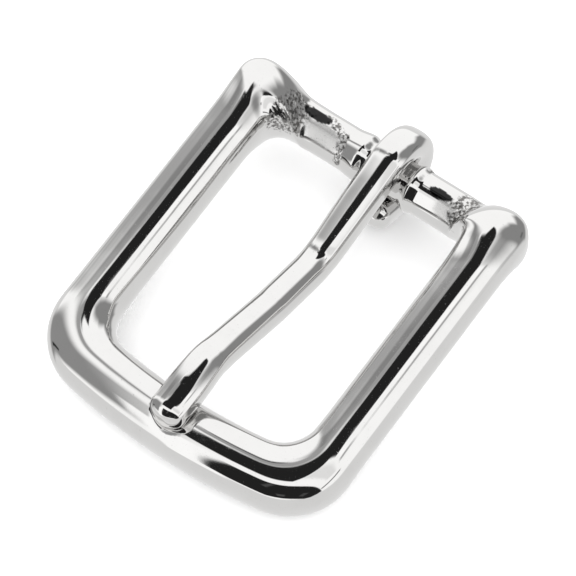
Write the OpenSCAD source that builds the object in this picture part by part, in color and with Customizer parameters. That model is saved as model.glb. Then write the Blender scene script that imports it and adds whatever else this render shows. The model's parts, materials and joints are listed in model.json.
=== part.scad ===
// Heel bar buckle: a cast frame with its heel bar in one piece, and a bent rod tongue that hinges on the bar.
// The casting is drawn with its rails level, then the whole buckle is laid down on its front bar and on the
// tongue's loop, as it lies on a table. X runs along the heel bar, +Y to the rear and +Z up.

/* [Frame] */
// Clear width between the rails, where the strap runs
inside_w = 27; // [26.4:0.2:28]
// Width of a rail seen from above
rail_w = 6.6; // [6.2:0.1:7]
// Height of the rails and of the front bar
rail_h = 7.1; // [6.8:0.1:7.4]
// From the heel bar's axis to the front edge of the buckle
reach = 44; // [42:0.5:48]
// Width of the front bar in the middle
front_w = 7.3; // [7:0.1:7.8]
// Outer radius of the two front corners
corner_r = 8; // [7:0.5:9]
// Inner radius of the two front corners
window_r = 4.1; // [3.5:0.1:5]
// Radius of the bow of the front edge
bow_r = 80; // [70:1:120]
// How square the rails' section is, where 2 is an ellipse
squareness = 2.15; // [2:0.05:2.4]

/* [Heel] */
// Diameter of the heel bar
bar_d = 5.4; // [5.2:0.1:5.6]
// How far the heel bar's axis lies below the rails' axis
bar_drop = 3.8; // [3.4:0.1:4.2]
// How far each heel lobe reaches below the heel bar's axis
lobe_depth = 3.7; // [3.2:0.1:4]
// How far the heel lobes reach behind the heel bar's axis
heel_back = 2.8; // [2.75:0.05:3.2]
// Outer radius of the heel corners seen from above
heel_r = 3.5; // [3.2:0.1:4]
// Radius of the fillet between a rail and the heel bar
fillet_r = 1.4; // [1:0.1:1.8]
// Diameter of the two collars that keep the tongue in place
collar_d = 5.9; // [5.8:0.1:6.2]
// Diameter of the groove that the tongue turns in
groove_d = 5.2; // [5:0.1:5.3]
// Width of the floor of the groove
groove_w = 5; // [4.8:0.1:5.4]
// Length of each side of a collar, from its foot to its crest
collar_side = 1.2; // [1:0.1:1.3]
// How far right of the middle the groove is cast
groove_shift = 0.5; // [0:0.1:0.8]

/* [Front notch] */
// Depth of the shallow saddle that the tongue's tip lies in
notch_depth = 0.5; // [0.2:0.05:0.6]
// Half width of the saddle
notch_w = 2.6; // [2:0.1:4]

/* [Tongue] */
// Width of the tongue's rod along the bar
rod_w = 4.3; // [4:0.1:4.4]
// Thickness of the rod where it is drawn thin round the loop
loop_t = 3.4; // [3.2:0.1:3.5]
// Thickness of the rod as it leaves the loop
shank_t = 3.8; // [3.6:0.1:4]
// Thickness of the rod past its first bend
middle_t = 4.1; // [3.8:0.1:4.2]
// Radius of the loop round the heel bar, to the middle of the rod
loop_r = 4.4; // [4.4:0.05:4.6]
// Radial clearance between the loop and the groove
loop_clearance = 0.15; // [0.1:0.05:0.25]
// Slope of the shank as it leaves the loop, down to the front
down_slope = 13.2; // [12:0.1:14]
// Slope of the shank past its first bend, up to the front
up_slope = 16.5; // [15.5:0.1:17]
// Slope of the tip's half of the shank
tip_slope = 20.4; // [19:0.1:21]
// Width of the blunt tip
tip_w = 4.5; // [4.3:0.1:4.8]
// Thickness of the blunt tip
tip_t = 4.3; // [4:0.1:4.4]
// How far right of the middle the loop sits
tongue_shift = 0.88; // [0.4:0.02:1]
// Turn of the shank to the left, seen from above
tongue_skew = 1.95; // [0:0.05:2.5]
// How far the nose droops into the saddle, in degrees
nose_droop = 17; // [12:1:20]
// How far the nose is bent back to the right
nose_side = 0.65; // [0:0.05:0.8]

/* [Hidden] */

frame_sides = 24;
tongue_sides = 16;

bar_r = bar_d / 2;
bar_z = -bar_drop;
groove_r = groove_d / 2;
crest_r = collar_d / 2;
crest_at = groove_w / 2 + collar_side;
rail_out = inside_w / 2 + rail_w;
rail_in = inside_w / 2;
window_front = reach - front_w;
// The heel bar's front edge moves forward by this much where it swells into the heels
bar_swell = 0.25;
window_rear = bar_r + bar_swell;
window_bow = bow_r - front_w;
lobe_z = bar_z - lobe_depth;
// Half the straight stretch of the heel bar, before it swells into the heels
bar_run = 9;
// The heel lobes grow out of the rails between these two distances in front of the bar
lobe_end = 7;
lobe_start = -0.7;
// Share of the heel corner over which the bar's section turns into the lobe's
heel_share = 0.6;

// The buckle lies on its front bar and on the loop: the slope of the line under both
loop_out = loop_r + loop_t / 2;
front_mid = reach - front_w / 2;
foot_power = squareness / (squareness - 1);
function foot(a) = pow(
    pow(front_w / 2 * sin(a), foot_power) + pow(rail_h / 2 * cos(a), foot_power), 1 / foot_power);
function lie_for(foot_h) =
    atan(bar_drop / front_mid) + asin((loop_out - foot_h) / norm([front_mid, bar_drop]));
lie = lie_for(foot(lie_for(rail_h / 2)));
// The front corners reach down to the same table
corner_from = 30;
corner_full = 36;

// Stretches of each half of the frame, in rings
rings_bar = 7;
rings_swell = 7;
rings_heel = 10;
rings_rail = 10;
rings_corner = 9;
rings_front = 12;

function ease(t) = let (u = min(1, max(0, t))) u * u * (3 - 2 * u);
function signed_power(v, e) = sign(v) * pow(abs(v), e);
function mix(a, b, t) = a + (b - a) * t;

// One edge of the right half of the frame seen from above, as [x, distance in front of the heel bar's axis]
function edge(w, front, corner, bow, rear, heel) =
    let (
        side = sign(rear),
        turn = asin((w - corner) / (bow - corner)),
        corner_x = w - corner,
        corner_q = front - bow + (bow - corner) * cos(turn),
        heel_x = w - heel,
        rail_q = rear + heel
    )
    concat(
        [for (k = [0 : rings_bar - 1]) [bar_run * k / rings_bar, side * bar_r]],
        [for (k = [0 : rings_swell - 1]) let (f = k / rings_swell)
            [mix(bar_run, heel_x, f), mix(side * bar_r, rear, ease(f))]],
        [for (k = [0 : rings_heel - 1]) let (a = 90 * k / rings_heel)
            [heel_x + heel * sin(a), rail_q - heel * cos(a)]],
        [for (k = [0 : rings_rail - 1]) [w, mix(rail_q, corner_q, k / rings_rail)]],
        [for (k = [0 : rings_corner - 1]) let (a = (90 - turn) * k / rings_corner)
            [corner_x + corner * cos(a), corner_q + corner * sin(a)]],
        [for (k = [0 : rings_front]) let (a = turn * (1 - k / rings_front))
            [bow * sin(a), front - bow + bow * cos(a)]]
    );

outer_edge = edge(rail_out, reach, corner_r, bow_r, -heel_back, heel_r);
inner_edge = edge(rail_in, window_front, window_r, window_bow, window_rear, fillet_r);
half_rings = len(outer_edge);

// How much of the plain bar's section a ring has: 1 on the heel bar, 0 past the heels
function bar_share(k) = 1 - ease((k - rings_bar) / (rings_swell + rings_heel * heel_share));

// Between the collars the swept bar is a thin core, because the turned groove is added over it
core_r = groove_r - 0.2;
function bar_radius(x) = abs(x - groove_shift) < crest_at ? core_r : bar_r;

// The saddle lies where the skewed tongue crosses the front bar, and fades in across the inner edge
notch_x = tongue_shift - front_mid * tan(tongue_skew) + 0.7 * nose_side;
notch_fade = 3;
function notch(x, q) =
    notch_depth * exp(-pow((x - notch_x) / notch_w, 2)) * ease((q - window_front + 2) / notch_fade);

// Top and bottom of the section, measured from the rails' axis
function ring_top(x, q, share) = mix(rail_h / 2 - notch(x, q), bar_z + bar_r, share);
function rail_bottom(q) =
    -rail_h / 2 - tan(lie) * max(0, front_mid - q) * ease((q - corner_from) / (corner_full - corner_from));
function ring_bottom(q, share) =
    let (lobe = ease((lobe_end - q) / (lobe_end - lobe_start)))
    mix(mix(rail_bottom(q), lobe_z, lobe), bar_z - bar_r, share);

// One ring of the frame: its section stands between the inner and the outer edge
function frame_ring(k, side) =
    let (
        inner = inner_edge[k],
        outer = outer_edge[k],
        mid = (inner + outer) / 2,
        across = (outer - inner) / norm(outer - inner),
        share = bar_share(k),
        on_bar = k <= rings_bar,
        half_w = on_bar ? bar_radius(side * mid.x) : norm(outer - inner) / 2,
        top = on_bar ? bar_z + half_w : ring_top(side * mid.x, mid.y, share),
        bottom = on_bar ? bar_z - half_w : ring_bottom(mid.y, share),
        power = 2 / mix(squareness, 2, share)
    )
    [for (j = [0 : frame_sides - 1])
        let (
            a = 360 * j / frame_sides,
            off = half_w * signed_power(cos(a), power),
            p = mid + across * off
        )
        [side * p.x, -p.y, (top + bottom) / 2 + (top - bottom) / 2 * signed_power(sin(a), power)]];

module closed_sweep(rings) {
    count = len(rings);
    sides = len(rings[0]);
    points = [for (ring = rings) each ring];
    faces = [
        for (i = [0 : count - 1], j = [0 : sides - 1])
            let (
                i2 = (i + 1) % count,
                j2 = (j + 1) % sides,
                a = i * sides + j,
                b = i * sides + j2,
                c = i2 * sides + j2,
                d = i2 * sides + j
            )
            each [[a, c, b], [a, d, c]]
    ];
    polyhedron(points, faces, convexity = 6);
}

// Radius of the heel bar's middle at a distance from the groove's middle: the groove's floor, then a collar
// whose outer side runs on into the plain bar
collar_sink = 0.3;
collar_steps = 8;
function groove_radius(d) =
    d < crest_at
    ? mix(groove_r, crest_r, ease(1 + (d - crest_at) / collar_side))
    : mix(crest_r, bar_r - collar_sink, ease((d - crest_at) / collar_side));

// The groove and its two round collars, turned round the heel bar's axis
module groove_and_collars() {
    collar = [
        for (k = [0 : collar_steps])
            let (d = groove_w / 2 + 2 * collar_side * k / collar_steps)
            [groove_radius(d), d]
    ];
    end = collar[collar_steps].y;
    other_collar = [for (k = [collar_steps : -1 : 0]) [collar[k].x, -collar[k].y]];
    translate([groove_shift, 0, bar_z])
        rotate([0, 90, 0])
            rotate_extrude($fn = 96)
                polygon(concat([[0, -end]], other_collar, collar, [[0, end]]));
}

// Turns the buckle from level rails to the way it lies, with the origin under the middle of its box
front_y = -front_mid * cos(lie) - bar_drop * sin(lie) - front_w / 2;
module laid() {
    translate([0, -(loop_out + front_y) / 2, loop_out])
        rotate([lie, 0, 0])
            translate([0, 0, bar_drop])
                children();
}

module frame() {
    right = [for (k = [0 : half_rings - 1]) frame_ring(k, 1)];
    left = [for (k = [half_rings - 2 : -1 : 1]) frame_ring(k, -1)];
    color("gainsboro")
        laid() {
            closed_sweep(concat(right, left));
            groove_and_collars();
        }
}

// The rod's way, from the tail under the bar to the tip: how far the tail stands round the loop from straight
// below the bar, then the straight stretches and the bends between them
tail_angle = 29;
tail_run = 2.2;
first_run = 11;
first_bend_r = 11.4;
middle_run = 3.5;
second_bend_r = 12;
tip_run = 14.4;
nose_run = 6;
// Radius of the rounding round the flat end of the nose, and round the end of the tail
nose_round = 0.8;
tail_round = 1.5;

// Points on the rod's middle line: distance in front of the bar's axis, height above it, heading, and the way
// along the rod so far
function run(from, length, count) =
    [for (k = [1 : count]) [
        from[0] + length * cos(from[2]) * k / count,
        from[1] + length * sin(from[2]) * k / count,
        from[2],
        from[3] + length * k / count
    ]];
function bend(from, to, radius, count) =
    let (
        way = sign(to - from[2]),
        length = radius * abs(to - from[2]) * PI / 180,
        centre = [from[0] - way * radius * sin(from[2]), from[1] + way * radius * cos(from[2])]
    )
    [for (k = [1 : count])
        let (h = mix(from[2], to, k / count))
        [
            centre.x + way * radius * sin(h),
            centre.y - way * radius * cos(h),
            h,
            from[3] + length * k / count
        ]];
function last(points) = points[len(points) - 1];

tail_at = tail_angle - 90;
tail_start = [
    loop_r * cos(tail_at) - tail_run * sin(tail_at),
    loop_r * sin(tail_at) + tail_run * cos(tail_at),
    tail_at - 90,
    0
];
tail = concat([tail_start], run(tail_start, tail_run, 2));
loop = bend(last(tail), -360 - down_slope, loop_r, 24);
loop_foot = last(loop);
slope_1 = run([loop_foot[0], loop_foot[1], -down_slope, loop_foot[3]], first_run, 6);
bend_1 = bend(last(slope_1), up_slope, first_bend_r, 6);
slope_2 = run(last(bend_1), middle_run, 2);
bend_2 = bend(last(slope_2), tip_slope, second_bend_r, 2);
slope_3 = run(last(bend_2), tip_run, 7);
nose = bend(last(slope_3), tip_slope - nose_droop, nose_run / (nose_droop * PI / 180), 4);
tongue_line = concat(tail, loop, slope_1, bend_1, slope_2, bend_2, slope_3, nose);
loop_end = loop_foot[3];
rod_end = last(nose)[3];

// The rod thickens from the loop to the shank, again past its first bend, and widens into the nose
function toward_middle(at) = ease((at - loop_end - 4) / 12);
function toward_nose(at) = ease((at - rod_end + 14) / 13);
function rod_width(at) = mix(rod_w, tip_w, toward_nose(at));
function rod_thickness(at) =
    let (shank = mix(loop_t, shank_t, ease((at - loop_end + 3) / 6)))
    mix(mix(shank, middle_t, toward_middle(at)), tip_t, toward_nose(at));

// How far the rod stands left of the loop: the shank's skew less the bend of its nose
function lean(q, at) =
    at < loop_end - 2
    ? 0
    : tan(tongue_skew) * max(0, q) * ease(q / 6) - nose_side * ease((at - rod_end + 9) / 9);

function tongue_ring(p, half_w, half_t) = [
    for (j = [0 : tongue_sides - 1])
        let (a = 360 * j / tongue_sides)
        [
            tongue_shift - lean(p[0], p[3]) + half_w * cos(a),
            -p[0] + half_t * sin(a) * sin(p[2]),
            p[1] + half_t * sin(a) * cos(p[2])
        ]
];

// Rings that round off an end of the rod, where way is 1 at the nose and -1 at the tail
end_steps = 3;
function end_rings(p, way, round_r) = [
    for (k = [1 : end_steps])
        let (
            a = 90 * k / end_steps,
            off = way * round_r * sin(a),
            cut = round_r * (1 - cos(a))
        )
        tongue_ring(
            [p[0] + off * cos(p[2]), p[1] + off * sin(p[2]), p[2], p[3]],
            rod_width(p[3]) / 2 - cut, rod_thickness(p[3]) / 2 - cut
        )
];
function reversed(list) = [for (k = [len(list) - 1 : -1 : 0]) list[k]];

module open_sweep(rings) {
    count = len(rings);
    sides = len(rings[0]);
    points = [for (ring = rings) each ring];
    walls = [
        for (i = [0 : count - 2], j = [0 : sides - 1])
            let (
                j2 = (j + 1) % sides,
                a = i * sides + j,
                b = i * sides + j2,
                c = (i + 1) * sides + j2,
                d = (i + 1) * sides + j
            )
            each [[a, c, b], [a, d, c]]
    ];
    start = [for (j = [0 : sides - 1]) j];
    end = [for (j = [sides - 1 : -1 : 0]) (count - 1) * sides + j];
    polyhedron(points, concat(walls, [start, end]), convexity = 6);
}

module tongue() {
    body_rings = [for (p = tongue_line) tongue_ring(p, rod_width(p[3]) / 2, rod_thickness(p[3]) / 2)];
    nose_rings = end_rings(last(tongue_line), 1, nose_round);
    tail_rings = reversed(end_rings(tongue_line[0], -1, tail_round));
    color("silver")
        laid()
            translate([0, 0, bar_z])
                difference() {
                    open_sweep(concat(tail_rings, body_rings, nose_rings));
                    translate([tongue_shift - rod_w, 0, 0])
                        rotate([0, 90, 0])
                            cylinder(h = 2 * rod_w, r = groove_d / 2 + loop_clearance, $fn = 96);
                }
}

frame();
tongue();
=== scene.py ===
import json
import math

import bpy
import numpy as np
from mathutils import Matrix, Vector


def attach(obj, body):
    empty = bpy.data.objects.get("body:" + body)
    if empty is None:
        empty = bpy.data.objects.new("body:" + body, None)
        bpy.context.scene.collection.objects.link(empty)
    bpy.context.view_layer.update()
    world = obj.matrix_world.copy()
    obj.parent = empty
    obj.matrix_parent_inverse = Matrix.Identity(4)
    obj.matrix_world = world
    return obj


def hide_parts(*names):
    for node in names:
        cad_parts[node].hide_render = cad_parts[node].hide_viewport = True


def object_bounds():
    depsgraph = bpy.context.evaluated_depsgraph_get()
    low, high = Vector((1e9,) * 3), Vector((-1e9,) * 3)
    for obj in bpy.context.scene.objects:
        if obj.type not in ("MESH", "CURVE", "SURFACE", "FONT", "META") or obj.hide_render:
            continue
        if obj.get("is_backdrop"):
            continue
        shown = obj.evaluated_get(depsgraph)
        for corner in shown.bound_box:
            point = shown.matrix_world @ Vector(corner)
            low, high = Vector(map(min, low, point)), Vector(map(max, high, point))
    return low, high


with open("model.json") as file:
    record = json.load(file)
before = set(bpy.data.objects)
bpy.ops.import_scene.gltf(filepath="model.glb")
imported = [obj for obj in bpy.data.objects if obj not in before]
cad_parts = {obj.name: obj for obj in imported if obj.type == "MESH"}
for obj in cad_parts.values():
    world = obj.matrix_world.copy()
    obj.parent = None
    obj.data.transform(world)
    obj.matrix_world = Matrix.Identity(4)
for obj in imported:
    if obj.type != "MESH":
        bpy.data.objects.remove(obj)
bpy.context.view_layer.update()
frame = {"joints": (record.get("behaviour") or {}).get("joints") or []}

# The camera: a long lens at the front right of the buckle, looking down at it as it lies on the table.
# It stands far off, so the rails hardly narrow towards the heels.
MM = 0.001
AZIMUTH = math.radians(36.29)
ELEVATION = math.radians(57.97)
ROLL = math.radians(-0.06)
DISTANCE = 500 * MM
TARGET = Vector((0, -0.09 * MM, 5.36 * MM))
VIEW_WIDTH = 65.3 * MM

right = Vector((math.cos(AZIMUTH), math.sin(AZIMUTH), 0))
forward = Vector((
    -math.sin(AZIMUTH) * math.cos(ELEVATION),
    math.cos(AZIMUTH) * math.cos(ELEVATION),
    -math.sin(ELEVATION),
))
up = right.cross(forward)
side = right * math.cos(ROLL) - up * math.sin(ROLL)
top = right * math.sin(ROLL) + up * math.cos(ROLL)
lens = bpy.data.cameras.new("camera")
lens.sensor_width = 36
lens.lens = lens.sensor_width * DISTANCE / VIEW_WIDTH
lens.clip_start = 0.01
lens.clip_end = 5
camera = bpy.data.objects.new("camera", lens)
camera.matrix_world = Matrix.Translation(TARGET - forward * DISTANCE) @ Matrix((
    (side.x, top.x, -forward.x, 0),
    (side.y, top.y, -forward.y, 0),
    (side.z, top.z, -forward.z, 0),
    (0, 0, 0, 1),
))
bpy.context.scene.collection.objects.link(camera)
bpy.context.scene.camera = camera


# The frame and its heel bar are one stainless casting, polished bright but for corners that the wheel can't
# reach. It is swept as rings round the window. They are worked out with the rails level, from the heel bar's
# axis (x along the bar, q forward, z up, in millimetres), then turned to the way the buckle lies.
INSIDE_W = 27
RAIL_W = 6.6
RAIL_H = 7.1
REACH = 44
FRONT_W = 7.3
CORNER_R = 8
WINDOW_R = 4.1
BOW_R = 80
CROWN = 0.3
LIE = math.radians(8.9608)
# The underside of the two front corners comes down to the table between these distances
FOOT_FADE = (30, 36)

# The heel bar, its groove for the tongue and the round collar at each side of the groove
BAR_R = 2.7
BAR_DROP = 3.8
BAR_RUN = 9
BAR_SWELL = 0.25
GROOVE_SHIFT = 0.5
GROOVE_W = 5
GROOVE_R = 2.6
CREST_R = 2.95
COLLAR_INSIDE = 1.2
COLLAR_OUTSIDE = {1: 1.2, -1: 2.2}

# The right heel and the left: how far each stands behind the bar's axis, the radii of its corner and of its
# fillet to the bar, and the reach of its domed end. The crest falls to the rear, leans outwards, turns back
# round the corner and slides along the bar, and the section is a little square.
HEELS = {
    1: {
        "back": 2.5, "corner": 3.4, "fillet": 1.1, "dome": 4.7,
        "fall": 0.012, "lean": -0.9, "turn": 0, "slide": 0, "square": 0.028,
    },
    -1: {
        "back": 2.9, "corner": 3.2, "fillet": 1.7, "dome": 4.9,
        "fall": 0.042, "lean": 1.1, "turn": 1.6, "slide": 0.3, "square": 0.038,
    },
}
# The lobe under each heel, and where that lobe and the changes of the crest begin and are full
LOBE_DEPTH = 3.9
LOBE_FADE = (7, -0.7)
FALL_FROM = 3.4
FALL_REACH = 4
LEAN_FADE = (7, 1)
SLIDE_FADE = (3.5, 0.5)

# How square the round section is along the rails and at each end of the front bar, and the distances forward
# and along the front bar over which one passes into the other
RAIL_SQUARE = 0.0122
FRONT_SQUARE = {1: 0.038, -1: 0.02}
HEEL_FADE = (9, 1)
FRONT_FADE = (30, 38)
MIDDLE_FADE = (-4, 4)

# The rings: the points of one ring, how finely the loop is drawn and smoothed at first, and the distance from
# one ring to the next along the bar and along the rails
CASTING_SIDES = 132
EDGE_POINTS = 120
FIRST_STEP = 0.125
SMOOTHING = 0.5
BAR_STEP = 0.12
RAIL_STEP = 0.4
STEP_FADE = (4, 8)

# The slight waves that polishing leaves
WAVE_SIZE = 2.6
WAVE_DEPTH = 0.004

# The saddle that the nose lies in. A dent or a spot is given by its middle and its reach in millimetres, as
# the buckle lies, and a dent also by its depth.
SADDLE = ((0.15, -21.2, 7.2), (2.6, 3.3, 2.6), 1)

# What the wheel left: grain from the mould and satin metal beside them. Black spots on the heel bar are
# painted dark reflection, standing in for the dark that the bar mirrors there. A patch gets its ragged edge
# from a noise with a grain and a seed of its own, and comes up between two levels of the sum.
GRAIN_SIZE = 0.5
GRAIN_DEPTH = 0.28
PATCHES = {
    "as_cast": {"grain": 2, "seed": 3, "ragged": 0.45, "levels": (0, 0.16), "spots": [
        ((-12.4, 16.9, 9.8), (2.3, 3.4, 2.8)),
        ((-11, 19.2, 9.2), (1.2, 0.8, 0.9)),
        ((-8.3, 19.6, 8.7), (0.9, 0.6, 0.6)),
        ((-7.1, 19.2, 8.8), (0.9, 0.6, 0.6)),
        ((-5.9, 18.6, 8.7), (0.8, 0.7, 0.6)),
        ((-5.4, 17.6, 8.2), (0.6, 0.9, 0.8)),
        ((-5.2, 16.5, 6.9), (0.6, 0.8, 1)),
        ((11.1, 18.3, 9.1), (1.9, 2.9, 2.4)),
        ((4.8, 21, 8.1), (0.5, 0.5, 0.6)),
    ]},
    # Painted dark reflection: black spots on the heel bar and collar where the metal mirrors dark cards
    "scale": {"grain": 1.6, "seed": 5, "ragged": 0.35, "levels": (0.02, 0.1), "spots": [
        ((-9.9, 19.15, 8.8), (2.1, 0.72, 0.7)),
        ((7.75, 18.7, 8.8), (1.7, 0.6, 0.65)),
    ]},
    "satin": {"grain": 1.6, "seed": 5, "ragged": 0.2, "levels": (0.02, 0.5), "spots": [
        ((-7.6, 17.6, 8.1), (4.2, 1.9, 1.9)),
        ((-11.5, 17.2, 9), (2.5, 2.5, 2.5)),
        ((9.3, 17.4, 8.2), (2.2, 1.6, 1.6)),
    ]},
}

pivot = Vector(frame["joints"][0]["pos_m"]) / MM


def mix(a, b, t):
    return a + (b - a) * t


def faded(at, start, full):
    """How far each place has come from the start to where the change is full, eased in and out."""
    t = np.clip((at - start) / (full - start), 0, 1)
    return t * t * (3 - 2 * t)


def heel_value(label, x):
    """The right heel's value or the left one's, by the half that each place is in."""
    return np.where(x < 0, HEELS[-1][label], HEELS[1][label])


def laid_way(x, q, z):
    """Directions given along the bar, forward and up from the level rails, turned to the way it all lies."""
    x, q, z = np.broadcast_arrays(x, q, z)
    return np.stack([x, -q * math.cos(LIE) - z * math.sin(LIE), -q * math.sin(LIE) + z * math.cos(LIE)], -1)


def laid(x, q, z):
    """Points given from the heel bar's axis in millimetres, turned to the way the buckle lies, in metres."""
    return (laid_way(x, q, z) + np.array([0, pivot.y, pivot.z])) * MM


def edge(width, front, corner_r, bow_r, rear, heel_r, bar_edge):
    """One edge of half the frame from above, from the middle of the heel bar to the middle of the front."""
    turn = math.asin((width - corner_r) / (bow_r - corner_r))
    corner_q = front - bow_r + (bow_r - corner_r) * math.cos(turn)
    heel_x = width - heel_r
    rail_q = rear + heel_r
    t = np.linspace(0, 1, EDGE_POINTS, endpoint=False)
    parts = [
        (BAR_RUN * t, np.full_like(t, bar_edge)),
        (mix(BAR_RUN, heel_x, t), mix(bar_edge, rear, faded(t, 0, 1))),
        (heel_x + heel_r * np.sin(t * math.pi / 2), rail_q - heel_r * np.cos(t * math.pi / 2)),
        (np.full_like(t, width), mix(rail_q, corner_q, t)),
        (
            width - corner_r + corner_r * np.cos(t * (math.pi / 2 - turn)),
            corner_q + corner_r * np.sin(t * (math.pi / 2 - turn)),
        ),
        (bow_r * np.sin(turn * (1 - t)), front - bow_r + bow_r * np.cos(turn * (1 - t))),
    ]
    return np.concatenate([np.stack(part, -1) for part in parts])


def half_frame(sign):
    """The rings of one half: middle, direction across, half width, top, bottom and the bar's share in them.

    Top and bottom are heights above the middle of the rails.
    """
    heel = HEELS[sign]
    outer = edge(INSIDE_W / 2 + RAIL_W, REACH, CORNER_R, BOW_R, -heel["back"], heel["corner"], -BAR_R)
    inner_q = BAR_R + BAR_SWELL
    inner = edge(INSIDE_W / 2, REACH - FRONT_W, WINDOW_R, BOW_R - FRONT_W, inner_q, heel["fillet"], BAR_R)
    middle = (inner + outer) / 2
    across = outer - inner
    half_w = np.linalg.norm(across, axis=1) / 2
    across = across / (2 * half_w[:, None])
    x, q = sign * middle[:, 0], middle[:, 1]
    rail_x = INSIDE_W / 2 + RAIL_W / 2
    dome = np.sqrt(np.clip(1 - ((rail_x - np.abs(x)) / heel["dome"]) ** 2, 0, 1))
    share = np.where((q > inner_q) | (np.abs(x) > rail_x), 0, 1 - dome)
    crown = CROWN * (1 - (x / rail_x) ** 2) * faded(q, REACH / 2, REACH * 5 / 6)
    fall = heel["fall"] * np.clip(FALL_FROM - q, 0, FALL_REACH) ** 2
    top = mix(RAIL_H / 2 + crown - fall, -BAR_DROP + BAR_R, share)
    foot = math.tan(LIE) * np.maximum(0, REACH - FRONT_W / 2 - q) * faded(q, *FOOT_FADE)
    bottom = mix(-RAIL_H / 2 - foot, -BAR_DROP - LOBE_DEPTH, faded(q, *LOBE_FADE))
    bottom = mix(bottom, -BAR_DROP - BAR_R, share)
    return np.stack([x, q, sign * across[:, 0], across[:, 1], half_w, top, bottom, share], -1)


def spaced(table, gap):
    """The closed loop of rings again, at distances that the gap gives at each of them."""
    closed = np.concatenate([table, table[:1]])
    step = np.linalg.norm(np.diff(closed[:, :2], axis=0), axis=1)
    run = np.concatenate([[0], np.cumsum(step / gap)])
    at = np.linspace(0, run[-1], round(run[-1]), endpoint=False)
    return np.stack([np.interp(at, run, column) for column in closed.T], -1)


def smoothed(table, reach):
    """Each column of the loop averaged with its neighbours, over a bell curve of that many rings."""
    count = len(table)
    waves = np.fft.rfftfreq(count) * 2 * math.pi * reach
    return np.fft.irfft(np.fft.rfft(table, axis=0) * np.exp(-waves ** 2 / 2)[:, None], count, axis=0)


def bar_radius(x):
    """Radius of the heel bar: the groove that the tongue turns in, a collar at each side, the plain bar."""
    from_groove = np.abs(x - GROOVE_SHIFT)
    outside = np.where(x < GROOVE_SHIFT, COLLAR_OUTSIDE[-1], COLLAR_OUTSIDE[1])
    crest_at = GROOVE_W / 2 + COLLAR_INSIDE
    inner_side = mix(GROOVE_R, CREST_R, faded(from_groove, GROOVE_W / 2, crest_at))
    outer_side = mix(CREST_R, BAR_R, faded(from_groove, crest_at, crest_at + outside))
    return np.where(from_groove < crest_at, inner_side, outer_side)


class Wire:
    """An output of a node. Sums and products of wires and numbers add the Math nodes that they need."""

    def __init__(self, tree, socket=None):
        self.tree = tree
        self.socket = socket

    def add(self, kind, settings=None, inputs=None, out=0):
        """A node of any type, with its settings made first, then the values or links of its sockets."""
        node = self.tree.nodes.new(kind)
        for name, value in (settings or {}).items():
            setattr(node, name, value)
        for name, value in (inputs or {}).items():
            if isinstance(value, Wire):
                self.tree.links.new(value.socket, node.inputs[name])
            else:
                node.inputs[name].default_value = value
        return Wire(self.tree, node.outputs[out])

    def math(self, operation, *terms):
        return self.add("ShaderNodeMath", {"operation": operation}, dict(enumerate(terms)))

    def vector(self, operation, *terms, out=0):
        return self.add("ShaderNodeVectorMath", {"operation": operation}, dict(enumerate(terms)), out)

    def scaled(self, amount):
        return self.add("ShaderNodeVectorMath", {"operation": "SCALE"}, {0: self, "Scale": amount})

    def largest(self, other):
        return self.math("MAXIMUM", self, other)

    def between(self, low, high):
        """How far the value has come from low to high, eased in and out."""
        return self.add("ShaderNodeMapRange", {"interpolation_type": "SMOOTHSTEP"}, {
            "Value": self, "From Min": low, "From Max": high})

    def __add__(self, other):
        return self.math("ADD", self, other)

    def __sub__(self, other):
        return self.math("SUBTRACT", self, other)

    def __rsub__(self, other):
        return self.math("SUBTRACT", other, self)

    def __mul__(self, other):
        return self.math("MULTIPLY", self, other)

    def __truediv__(self, other):
        return self.math("DIVIDE", self, other)

    def __rtruediv__(self, other):
        return self.math("DIVIDE", other, self)

    __radd__ = __add__
    __rmul__ = __mul__


# Points closer than this are made one
WELD = 0.002 * MM
# How far in from its edge a dent reaches its full depth, as a share of the way to its middle
DENT_FULL = 0.8
NOISE_ROUGHNESS = 0.6
GRAIN_SEED = 7


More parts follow.
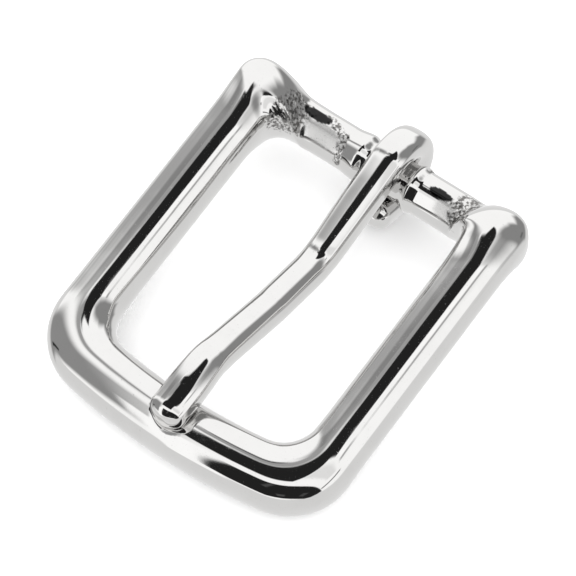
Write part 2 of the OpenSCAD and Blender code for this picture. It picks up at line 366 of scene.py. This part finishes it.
def sweep_tree(name, dents, patches):
    """Geometry Nodes that stand a ring of points on each point of a guide and close them into one skin.

    The skin then gets the slight waves that polishing leaves, its dents and its patches. The patch named
    as_cast also stands out as grain.
    """
    tree = bpy.data.node_groups.new(name, "GeometryNodeTree")
    sockets = {"Guide": "Geometry", "Sides": "Int", "Material": "Material", "Seed": "Float"}
    sockets.update({label: "Float" for label in ("Wave Size", "Wave Depth", "Grain Size", "Grain Depth")})
    for label, kind in sockets.items():
        tree.interface.new_socket(name=label, in_out="INPUT", socket_type="NodeSocket" + kind)
    tree.interface.new_socket(name="Skin", in_out="OUTPUT", socket_type="NodeSocketGeometry")
    start = tree.nodes.new("NodeGroupInput")
    guide, sides, finish, seed, wave_size, wave_depth, grain_size, grain_depth = (
        Wire(tree, start.outputs[label]) for label in sockets)

    count = guide.add(
        "GeometryNodeAttributeDomainSize", {"component": "MESH"}, {"Geometry": guide}, "Point Count")
    grid = guide.add("GeometryNodeMeshGrid", {}, {"Vertices X": count, "Vertices Y": sides + 1}, "Mesh")
    index = guide.add("GeometryNodeInputIndex")
    ring = guide.math("FLOOR", (index + 0.5) / (sides + 1))
    angle = (index - ring * (sides + 1)) * (2 * math.pi) / sides

    def at_ring(attribute, kind="FLOAT_VECTOR"):
        value = guide.add(
            "GeometryNodeInputNamedAttribute", {"data_type": kind}, {"Name": attribute}, "Attribute")
        return guide.add("GeometryNodeSampleIndex", {"data_type": kind}, {
            "Geometry": guide, "Value": value, "Index": ring}, "Value")

    swell = 1 + at_ring("square", "FLOAT") * (1 - guide.math("COSINE", angle * 4))
    height = guide.math("SINE", angle) * swell
    crest = height.largest(0)
    side_way = at_ring("side").scaled(guide.math("COSINE", angle) * swell)
    over = guide.vector("ADD", at_ring("rise").scaled(crest), at_ring("lean").scaled(crest * crest))
    rise_way = guide.vector("ADD", over, at_ring("drop").scaled(height - crest))
    place = guide.vector("ADD", at_ring("middle"), guide.vector("ADD", side_way, rise_way))
    skin = guide.add("GeometryNodeSetPosition", {}, {"Geometry": grid, "Position": place}, "Geometry")
    skin = guide.add("GeometryNodeMergeByDistance", {}, {"Geometry": skin, "Distance": WELD}, "Geometry")
    # The grid's faces come out pointing inwards
    skin = guide.add("GeometryNodeFlipFaces", {}, {"Mesh": skin}, "Mesh")

    here = guide.add("GeometryNodeInputPosition")
    outwards = guide.add("GeometryNodeInputNormal")

    def noise(size, shift, detail):
        """Between -1 and 1, in lumps of that size in millimetres."""
        return (guide.add("ShaderNodeTexNoise", {"noise_dimensions": "4D"}, {
            "Vector": here, "W": seed + shift, "Scale": 1 / MM / size, "Detail": detail,
            "Roughness": NOISE_ROUGHNESS}) - 0.5) * 2

    def reach(middle, size):
        """1 at the middle of a spot, falling to 0 at its edge."""
        from_middle = guide.vector("SUBTRACT", here, tuple(value * MM for value in middle))
        shares = guide.vector("DIVIDE", from_middle, tuple(value * MM for value in size))
        return 1 - guide.vector("LENGTH", shares, out="Value")

    depth = noise(wave_size, shift=0, detail=1) * wave_depth
    for middle, size, deep in dents:
        depth = depth - reach(middle, size).between(0, DENT_FULL) * deep
    for label, patch in patches.items():
        spread = reach(*patch["spots"][0])
        for spot in patch["spots"][1:]:
            spread = spread.largest(reach(*spot))
        ragged = noise(grain_size * patch["grain"], shift=patch["seed"], detail=2) * patch["ragged"]
        spread = (spread + ragged).between(*patch["levels"])
        if label == "as_cast":
            depth = depth + spread * noise(grain_size, shift=GRAIN_SEED, detail=3) * grain_depth
        skin = guide.add("GeometryNodeStoreNamedAttribute", {"data_type": "FLOAT", "domain": "POINT"}, {
            "Geometry": skin, "Name": label, "Value": spread}, "Geometry")
    skin = guide.add("GeometryNodeSetPosition", {}, {
        "Geometry": skin, "Offset": outwards.scaled(depth * MM)}, "Geometry")
    skin = guide.add("GeometryNodeSetShadeSmooth", {}, {"Geometry": skin}, "Geometry")
    skin = guide.add("GeometryNodeRealizeInstances", {}, {"Geometry": skin}, "Geometry")
    skin = guide.add("GeometryNodeSetMaterial", {}, {"Geometry": skin, "Material": finish}, "Geometry")
    end = tree.nodes.new("NodeGroupOutput")
    tree.links.new(skin.socket, end.inputs["Skin"])
    return tree


def grown(name, tree, guide, inputs):
    """The plain mesh that a tree makes of a guide: a table of points with a value of each attribute."""
    mesh = bpy.data.meshes.new(name + "_guide")
    mesh.vertices.add(len(guide["middle"]))
    for attribute, values in guide.items():
        kind, key = ("FLOAT_VECTOR", "vector") if values.ndim == 2 else ("FLOAT", "value")
        mesh.attributes.new(attribute, kind, "POINT").data.foreach_set(key, values.astype(np.float32).ravel())
    holder = bpy.data.objects.new(name + "_guide", mesh)
    bpy.context.scene.collection.objects.link(holder)
    modifier = holder.modifiers.new("sweep", "NODES")
    modifier.node_group = tree
    sockets = {item.name: item.identifier for item in tree.interface.items_tree if item.in_out == "INPUT"}
    for label, value in inputs.items():
        modifier[sockets[label]] = value
    bpy.context.view_layer.update()
    graph = bpy.context.evaluated_depsgraph_get()
    result = bpy.data.meshes.new_from_object(holder.evaluated_get(graph), depsgraph=graph)
    holder.modifiers.remove(modifier)
    bpy.data.objects.remove(holder)
    result.name = name
    piece = bpy.data.objects.new(name, result)
    bpy.context.scene.collection.objects.link(piece)
    return piece


# The bright metal, the dark of its specks and pits, and the black of the painted dark reflections
METAL = (0.68, 0.675, 0.667, 1)
DARK_METAL = (0.16, 0.155, 0.15, 1)
PAINTED_DARK_REFLECTION_BLACK = (0.025, 0.025, 0.025, 1)
POLISH = 0.03
# The noise that each kind of mark comes from (its scale, detail and roughness), and the levels between which
# the mark comes up
NOISES = {"lines": (1500, 3, 0.7), "haze": (350, 4, 0.65), "specks": (4200, 2, 0.5), "pits": (2300, 3, 0.5)}
LEVELS = {
    "lines": (0.55, 0.8), "haze": (0.45, 0.8), "stain": (0.35, 0.75),
    "specks": (0.66, 0.74), "pits": (0.42, 0.56),
}
# How much each dulls and darkens the metal where it is strongest, and how far it stands out
DULLS = {"lines": 0.04, "haze": 0.05, "specks": 0.12, "rough": 0.1, "pits": 0.12, "satin": 0.22}
DARKENS = {"stain": 0.04, "specks": 0.1, "pits": 0.95}
STANDS_OUT = {"lines": 0.3, "haze": 0.5}
BUMP_DEPTH = 0.01 * MM
BUMP_STRENGTH = 0.12
# The wheel's lines run along the rails, so their noise is squeezed the other two ways
LINES_SQUEEZE = (9, 1, 3)


def bright_metal(name, patched):
    """Mirror-polished metal with the wheel's fine lines, haze and specks, and patches where it has them,
    among them black painted dark reflection.
    """
    material = bpy.data.materials.new(name)
    material.use_nodes = True
    tree = material.node_tree
    place = Wire(tree).add("ShaderNodeTexCoord", out="Object")

    def noise(label, where=place):
        scale, detail, roughness = NOISES[label]
        return place.add("ShaderNodeTexNoise", {}, {
            "Vector": where, "Scale": scale, "Detail": detail, "Roughness": roughness})

    def blend(share, first, second):
        return place.add("ShaderNodeMix", {"data_type": "RGBA"}, {
            "Factor": share, "A": first, "B": second}, "Result")

    def patch(label):
        return place.add("ShaderNodeAttribute", {"attribute_name": label}, out="Fac")

    lines = noise("lines", place.add("ShaderNodeMapping", {}, {"Vector": place, "Scale": LINES_SQUEEZE}))
    haze = noise("haze")
    specks = noise("specks").between(*LEVELS["specks"])
    dullness = POLISH + haze.between(*LEVELS["haze"]) * DULLS["haze"]
    dullness = dullness + lines.between(*LEVELS["lines"]) * DULLS["lines"] + specks * DULLS["specks"]
    shade = haze.between(*LEVELS["stain"]) * DARKENS["stain"] + specks * DARKENS["specks"]
    if patched:
        rough = patch("as_cast")
        pits = 1 - noise("pits").between(*LEVELS["pits"])
        dullness = dullness + rough * (DULLS["rough"] + pits * DULLS["pits"])
        dullness = dullness + patch("satin") * DULLS["satin"]
        shade = shade + rough * pits * DARKENS["pits"]
    colour = blend(shade, METAL, DARK_METAL)
    if patched:
        # Black painted dark reflection where the heel bar mirrors dark cards
        colour = blend(patch("scale"), colour, PAINTED_DARK_REFLECTION_BLACK)
    height = lines * STANDS_OUT["lines"] + haze * STANDS_OUT["haze"]
    bump = place.add("ShaderNodeBump", {}, {
        "Strength": BUMP_STRENGTH, "Distance": BUMP_DEPTH, "Height": height})
    surface = tree.nodes["Principled BSDF"]
    surface.inputs["Metallic"].default_value = 1
    for label, wire in {"Base Color": colour, "Roughness": dullness, "Normal": bump}.items():
        tree.links.new(wire.socket, surface.inputs[label])
    return material


cast_nickel = bright_metal("cast_nickel", True)
# The loop of rings is drawn and smoothed finely, then spaced again, closer together along the bar
loop = np.concatenate([half_frame(1), half_frame(-1)[::-1]])
loop = smoothed(spaced(loop, FIRST_STEP), SMOOTHING / FIRST_STEP)
loop = spaced(loop, mix(BAR_STEP, RAIL_STEP, faded(loop[:, 1], *STEP_FADE)))
loop = np.concatenate([loop, loop[:1]])
x, q, across_x, across_q, half_w, high, low, share = loop.T
# Each ring's middle, half width, height and depth, with the bar's turned shape and the way the crest leans
on_bar = (q < BAR_R) & (np.abs(x) < BAR_RUN)
swell = np.where(on_bar, bar_radius(x) / BAR_R, 1)
axis = -BAR_DROP * share
length = np.hypot(across_x, across_q)
across = laid_way(across_x / length, across_q / length, 0)
upward = laid_way(0, 0, 1)
outward = laid_way(np.sign(x), 0, 0)
lean = heel_value("lean", x) - heel_value("turn", x) * (across_q / length) ** 2
lean = lean * faded(q, *LEAN_FADE) * (1 - share)
slide = heel_value("slide", x) * faded(q, *SLIDE_FADE) * (1 - share)
rail_square = mix(RAIL_SQUARE, heel_value("square", x), faded(q, *HEEL_FADE)) * (1 - share)
front_square = mix(FRONT_SQUARE[-1], FRONT_SQUARE[1], faded(x, *MIDDLE_FADE))
casting = grown("casting", sweep_tree("swept_casting", [SADDLE], PATCHES), {
    "middle": laid(x, q, axis + BAR_DROP),
    "side": across * (half_w * swell)[:, None] * MM,
    "rise": upward * ((high - axis) * swell)[:, None] * MM,
    "drop": upward * ((axis - low) * swell)[:, None] * MM,
    "lean": (across * lean[:, None] + outward * slide[:, None]) * MM,
    "square": mix(rail_square, front_square, faded(q, *FRONT_FADE)),
}, {
    "Sides": CASTING_SIDES, "Material": cast_nickel, "Seed": 3.0,
    "Wave Size": WAVE_SIZE, "Wave Depth": WAVE_DEPTH, "Grain Size": GRAIN_SIZE, "Grain Depth": GRAIN_DEPTH,
})
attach(casting, "frame")
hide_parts("frame")


# The tongue is one stainless rod, closed by hand in a loop round the groove, with an S bend in its shank and
# a wider, blunt nose that droops into the saddle of the front bar. Its line is drawn from the tail, round the
# loop and along the shank to the tip, in millimetres and degrees.
LOOP_R = 4.4
LOOP_W = 4.3
LOOP_T = 3.4
SHANK_T = 3.8
MIDDLE_W = 4.02
MIDDLE_T = 4
TIP_W = 4.6
TIP_T = 4.34
TAIL_ANGLE = 29
TAIL_RUN = 2
DOWN_SLOPE = 12.52
FIRST_RUN = 11.18
FIRST_BEND_R = 9
UP_SLOPE = 17.15
MIDDLE_RUN = 5.59
SECOND_BEND_R = 12
TIP_SLOPE = 23.6
TIP_RUN = 10.21
NOSE_BEND_R = 5.36
NOSE_SLOPE = 5.5
NOSE_RUN = 6.45
NOSE_DROOP = 5
TONGUE_SHIFT = 0.95
TONGUE_SKEW = math.radians(1.59)
NOSE_SIDE = 0.28
NOSE_ROLL = math.radians(5)
LOOP_SQUARE = 0.046
SHANK_SQUARE = 0.034
NOSE_SQUARE = 0.046

# Where one size passes into the next: first along the rod from the end of the loop, then along it from the
# tip, then forward from the bar's axis
SHANK_FADE = (-3, 3)
SHANK_MIDDLE_FADE = (4, 16)
SKEW_FROM = -2
TIP_FADE = (-11, -3)
NOSE_SIDE_FADE = (-9, 0)
SKEW_FADE = (0, 6)
ROLL_FADE = (26, 34)
LOOP_SQUARE_FADE = (5, 14)
NOSE_SQUARE_FADE = (28, 34)

# The rounding of each end: how far it narrows, how far it thins, and how far on it reaches. Then its rings,
# those of its flat face, and the first of these as a share of the rounding's last ring.
NOSE_BLUNT = (1.9, 1, 1.55)
TAIL_BLUNT = (1.5, 1.5, 1.5)
BLUNT_RINGS = 10
FACE_RINGS = 6
FACE_SHARE = 0.85
ROD_SIDES = 72
ROD_STEP = 0.25
ROD_WAVE_SIZE = 2.2
ROD_WAVE_DEPTH = 0.004
NOSE_DENT = ((0.3, -19.6, 11.3), (0.4, 0.5, 0.45), 0.02)


def rod_line(step):
    """The rod's middle line from tail to tip: how far along it, q, z and heading, and where the loop ends."""
    stretches = [
        (TAIL_RUN, 0),
        (LOOP_R * math.radians(180 + DOWN_SLOPE + TAIL_ANGLE), -1 / LOOP_R),
        (FIRST_RUN, 0),
        (FIRST_BEND_R * math.radians(DOWN_SLOPE + UP_SLOPE), 1 / FIRST_BEND_R),
        (MIDDLE_RUN, 0),
        (SECOND_BEND_R * math.radians(TIP_SLOPE - UP_SLOPE), 1 / SECOND_BEND_R),
        (TIP_RUN, 0),
        (NOSE_BEND_R * math.radians(TIP_SLOPE - NOSE_SLOPE), -1 / NOSE_BEND_R),
        (NOSE_RUN, -math.radians(NOSE_DROOP) / NOSE_RUN),
    ]
    ends = np.cumsum([run for run, _ in stretches])
    at = np.linspace(0, ends[-1], round(ends[-1] / step) + 1)
    tail = math.radians(TAIL_ANGLE - 90)
    heading = tail - math.pi / 2 + sum(
        bend * np.clip(at - (end - run), 0, run) for end, (run, bend) in zip(ends, stretches))
    half_way = (heading[1:] + heading[:-1]) / 2
    tail_q = LOOP_R * math.cos(tail) - TAIL_RUN * math.sin(tail)
    tail_z = LOOP_R * math.sin(tail) + TAIL_RUN * math.cos(tail)
    q = tail_q + np.append(0, np.cumsum(np.cos(half_way))) * at[1]
    z = tail_z + np.append(0, np.cumsum(np.sin(half_way))) * at[1]
    return at, q, z, heading, ends[1]


def end_rings(ring, way, blunt):
    """Rings that round off an end of the rod, from [q, z, heading, aside, half width, half thickness]."""
    narrowing, thinning, reach = blunt
    turn = np.linspace(0, math.pi / 2, BLUNT_RINGS + 1)[1:]
    rings = np.repeat(ring[None, :], BLUNT_RINGS, axis=0)
    rings[:, 0] += way * reach * np.sin(turn) * math.cos(ring[2])
    rings[:, 1] += way * reach * np.sin(turn) * math.sin(ring[2])
    rings[:, 4] -= narrowing * (1 - np.cos(turn))
    rings[:, 5] -= thinning * (1 - np.cos(turn))
    face = np.repeat(rings[-1:], FACE_RINGS, axis=0)
    face[:, 4:] *= np.linspace(FACE_SHARE, 0, FACE_RINGS)[:, None]
    return np.concatenate([rings, face])


at, q, z, heading, loop_end = rod_line(ROD_STEP)
from_loop, from_tip = at - loop_end, at - at[-1]
to_middle = faded(from_loop, *SHANK_MIDDLE_FADE)
to_tip = faded(from_tip, *TIP_FADE)
rod_w = mix(mix(LOOP_W, MIDDLE_W, to_middle), TIP_W, to_tip)
shank_t = mix(LOOP_T, SHANK_T, faded(from_loop, *SHANK_FADE))
rod_t = mix(mix(shank_t, MIDDLE_T, to_middle), TIP_T, to_tip)
aside = math.tan(TONGUE_SKEW) * np.maximum(0, q) * faded(q, *SKEW_FADE) * (from_loop > SKEW_FROM)
aside = aside - NOSE_SIDE * faded(from_tip, *NOSE_SIDE_FADE)
rod = np.stack([q, z, heading, aside, rod_w / 2, rod_t / 2], -1)
rod = np.concatenate([end_rings(rod[0], -1, TAIL_BLUNT)[::-1], rod, end_rings(rod[-1], 1, NOSE_BLUNT)])
q, z, heading, aside, half_w, half_t = rod.T
roll = NOSE_ROLL * faded(q, *ROLL_FADE)
side_way = laid_way(np.cos(roll), np.sin(heading) * np.sin(roll), -np.cos(heading) * np.sin(roll))
over_way = laid_way(np.sin(roll), -np.sin(heading) * np.cos(roll), np.cos(heading) * np.cos(roll))
rod_square = mix(LOOP_SQUARE, SHANK_SQUARE, faded(q, *LOOP_SQUARE_FADE))
rod_nickel = bright_metal("rod_nickel", False)
tongue = grown("tongue_rod", sweep_tree("swept_rod", [NOSE_DENT], {}), {
    "middle": laid(TONGUE_SHIFT - aside, q, z),
    "side": side_way * half_w[:, None] * MM,
    "rise": over_way * half_t[:, None] * MM,
    "drop": over_way * half_t[:, None] * MM,
    "lean": np.zeros_like(side_way),
    "square": mix(rod_square, NOSE_SQUARE, faded(q, *NOSE_SQUARE_FADE)),
}, {
    "Sides": ROD_SIDES, "Material": rod_nickel, "Seed": 8.0,
    "Wave Size": ROD_WAVE_SIZE, "Wave Depth": ROD_WAVE_DEPTH,
})
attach(tongue, "tongue")
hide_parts("tongue")


# The table is a plain white sheet of matt paper, lit evenly from all round. The metal doesn't mirror the
# sheet itself, since the lower part of the tent stands in for it.
TABLE_REACH = 1
PAPER = {"Base Color": (0.88, 0.88, 0.88, 1), "Roughness": 0.9, "Specular IOR Level": 0.1}

table_mesh = bpy.data.meshes.new("table")
corners = [(TABLE_REACH * x, TABLE_REACH * y, 0) for x, y in ((-1, -1), (1, -1), (1, 1), (-1, 1))]
table_mesh.from_pydata(corners, [], [(0, 1, 2, 3)])
paper = bpy.data.materials.new("table_paper")
paper.use_nodes = True
for label, value in PAPER.items():
    paper.node_tree.nodes["Principled BSDF"].inputs[label].default_value = value
table_mesh.materials.append(paper)
table = bpy.data.objects.new("table", table_mesh)
bpy.context.scene.collection.objects.link(table)
table.visible_glossy = False
table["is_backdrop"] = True


# The studio is a tent of white cloth, hung inside with grey and black cards for the metal to mirror. The
# camera's view and the table's own light go through the cloth, so it only shows in the metal. What lights the
# table is the even white of the room outside.
TENT_R = 1.3
TENT_STEP = 0.75
TENT_LIGHT = 1.34
ROOM_LIGHT = 2.1
# From this angle off overhead the cloth hangs under the table and needs no more than a few rows
UNDER_FROM = 115
UNDER_ROWS = 14
# The table as the metal mirrors it: its light, and the angles off overhead over which it begins
TABLE_LIGHT = 0.92
TABLE_FADE = (math.radians(92.82), math.radians(98.55))
# Each card's light, the softness of its edge and its outline, as seen from the buckle looking straight up, in
# degrees from overhead towards +X and +Y. A later card hangs in front of an earlier one.
CARDS = {
    "left grey card": (0.36, 8, [
        (-20, -11), (-40, -6), (-60, -1), (-85, 2), (-110, 5), (-112, -60), (-85, -54), (-60, -66),
        (-40, -72), (-24, -66)]),
    "white gap": (1.4, 1.5, [(-26, -40), (-14, -24), (-14, -100), (-34, -100)]),
    "left grey wing": (0.52, 3, [
        (-22, 7), (-40, 8.5), (-60, 12), (-80, 18), (-100, 31), (-100, 42), (-80, 27), (-60, 19), (-40, 14),
        (-22, 11)]),
    "left dark wing": (0.31, 4, [(-22, 6), (-42, 7.7), (-48, 14.5), (-22, 12)]),
    "far grey card": (0.33, 8, [
        (26, 14), (13, 18.5), (10, 26), (11, 34), (14, 42), (12, 48), (16, 56), (22, 66), (12, 74), (-6, 84),
        (-10, 100), (20, 110), (75, 90), (95, 45), (70, 30), (45, 17)]),
    "far grey card's shade": (0.18, 4, [(56, 78), (66, 68), (74, 58), (66, 56), (54, 70)]),
    "soft grey": (1.05, 3, [(6, 0), (30, 4), (60, 6), (60, -10), (30, -12), (8, -10)]),
    "black card overhead": (0.022, 1, [
        (-18.8, -16.5), (6, -16), (6, -3), (8, 4), (22, 7), (22, 11), (17, 13.5), (11, 17), (5, 20),
        (-1, 22.5), (-7, 23.5), (-9, 17), (-11, 14), (-18, 12.5), (-17, 10), (-13.5, 7.5), (-17.5, 4),
        (-18.8, -2)]),
    "its grey border": (0.46, 1, [(-26, 7), (-14, 7), (-13.5, 11), (-26, 11.2)]),
    "white edge": (1.42, 1, [(24, 8), (38, 10), (38, 13), (24, 11)]),
    "right seam": (0.55, 1, [(40, 10), (47, 11), (47, 16), (40, 15)]),
    "right fold": (0.22, 1.2, [(70, 14), (75, 14), (81, -25), (76, -25)]),
    "black card round the camera": (0.022, 1, [
        (-12, -31), (0, -30), (20, -27), (50, -26), (90, -27), (90, -36), (86, -52), (78, -62), (40, -80),
        (10, -90), (-12, -90), (-17, -86), (-14.5, -60)]),
    "its folds": (0.09, 1.5, [(0, -33), (4, -33), (3, -52), (-2, -50)]),
    "its lower folds": (0.1, 1.5, [(20, -66), (32, -62), (36, -70), (26, -74)]),
    "its right folds": (0.08, 2, [(52, -46), (62, -42), (64, -56), (56, -58)]),
    "black clip": (0.03, 1.5, [(-98, -36), (-96, -42), (-70, -48), (-68, -44)]),
}


def inside(x, y, outline):
    """How far each point lies inside the outline, in degrees: less than 0 outside it."""
    near = np.full(x.shape, np.inf)
    within = np.zeros(x.shape, bool)
    for (ax, ay), (bx, by) in zip(outline, outline[1:] + outline[:1]):
        ex, ey = bx - ax, by - ay
        t = np.clip(((x - ax) * ex + (y - ay) * ey) / (ex * ex + ey * ey), 0, 1)
        near = np.minimum(near, np.hypot(x - ax - t * ex, y - ay - t * ey))
        if ey:
            within ^= ((ay > y) != (by > y)) & (x < ax + (y - ay) * ex / ey)
    return np.where(within, near, -near)


around = np.radians(np.arange(0, 360, TENT_STEP))
from_top = np.radians(np.concatenate([
    np.arange(0, UNDER_FROM, TENT_STEP),
    np.linspace(UNDER_FROM, 180, UNDER_ROWS),
]))
azimuth, zenith = np.meshgrid(around, from_top)
east = np.degrees(zenith) * np.cos(azimuth)
north = np.degrees(zenith) * np.sin(azimuth)
glow = mix(TENT_LIGHT, TABLE_LIGHT, faded(zenith, *TABLE_FADE))
for light, softness, outline in CARDS.values():
    glow = mix(glow, light, faded(inside(east, north, outline), -softness, softness))
cloth = TENT_R * np.stack([
    np.sin(zenith) * np.cos(azimuth),
    np.sin(zenith) * np.sin(azimuth),
    np.cos(zenith),
], -1)
points = np.arange(glow.size).reshape(glow.shape)
beside = np.roll(points, -1, axis=1)
quads = np.stack([points[:-1], points[1:], beside[1:], beside[:-1]], -1).reshape(-1, 4)
tent_mesh = bpy.data.meshes.new("tent")
tent_mesh.from_pydata(cloth.reshape(-1, 3).tolist(), [], quads.tolist())
tent_mesh.attributes.new("glow", "FLOAT", "POINT").data.foreach_set("value", glow.astype(np.float32).ravel())
tent_cloth = bpy.data.materials.new("tent_cloth")
tent_cloth.use_nodes = True
tent_cloth.cycles.emission_sampling = "NONE"
cloth_tree = tent_cloth.node_tree
cloth_tree.nodes.clear()
strength = Wire(cloth_tree).add("ShaderNodeAttribute", {"attribute_name": "glow"}, out="Fac")
lit = strength.add("ShaderNodeEmission", {}, {"Color": (1, 1, 1, 1), "Strength": strength})
end = cloth_tree.nodes.new("ShaderNodeOutputMaterial")
cloth_tree.links.new(lit.socket, end.inputs["Surface"])
tent_mesh.materials.append(tent_cloth)
tent = bpy.data.objects.new("tent", tent_mesh)
bpy.context.scene.collection.objects.link(tent)
for sight in ("visible_camera", "visible_diffuse", "visible_shadow", "visible_transmission"):
    setattr(tent, sight, False)
tent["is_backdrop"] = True

room = bpy.data.worlds.new("studio")
room.use_nodes = True
room.node_tree.nodes["Background"].inputs["Color"].default_value = (1, 1, 1, 1)
room.node_tree.nodes["Background"].inputs["Strength"].default_value = ROOM_LIGHT
bpy.context.scene.world = room
bpy.context.scene.view_settings.view_transform = "Standard"

low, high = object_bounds()
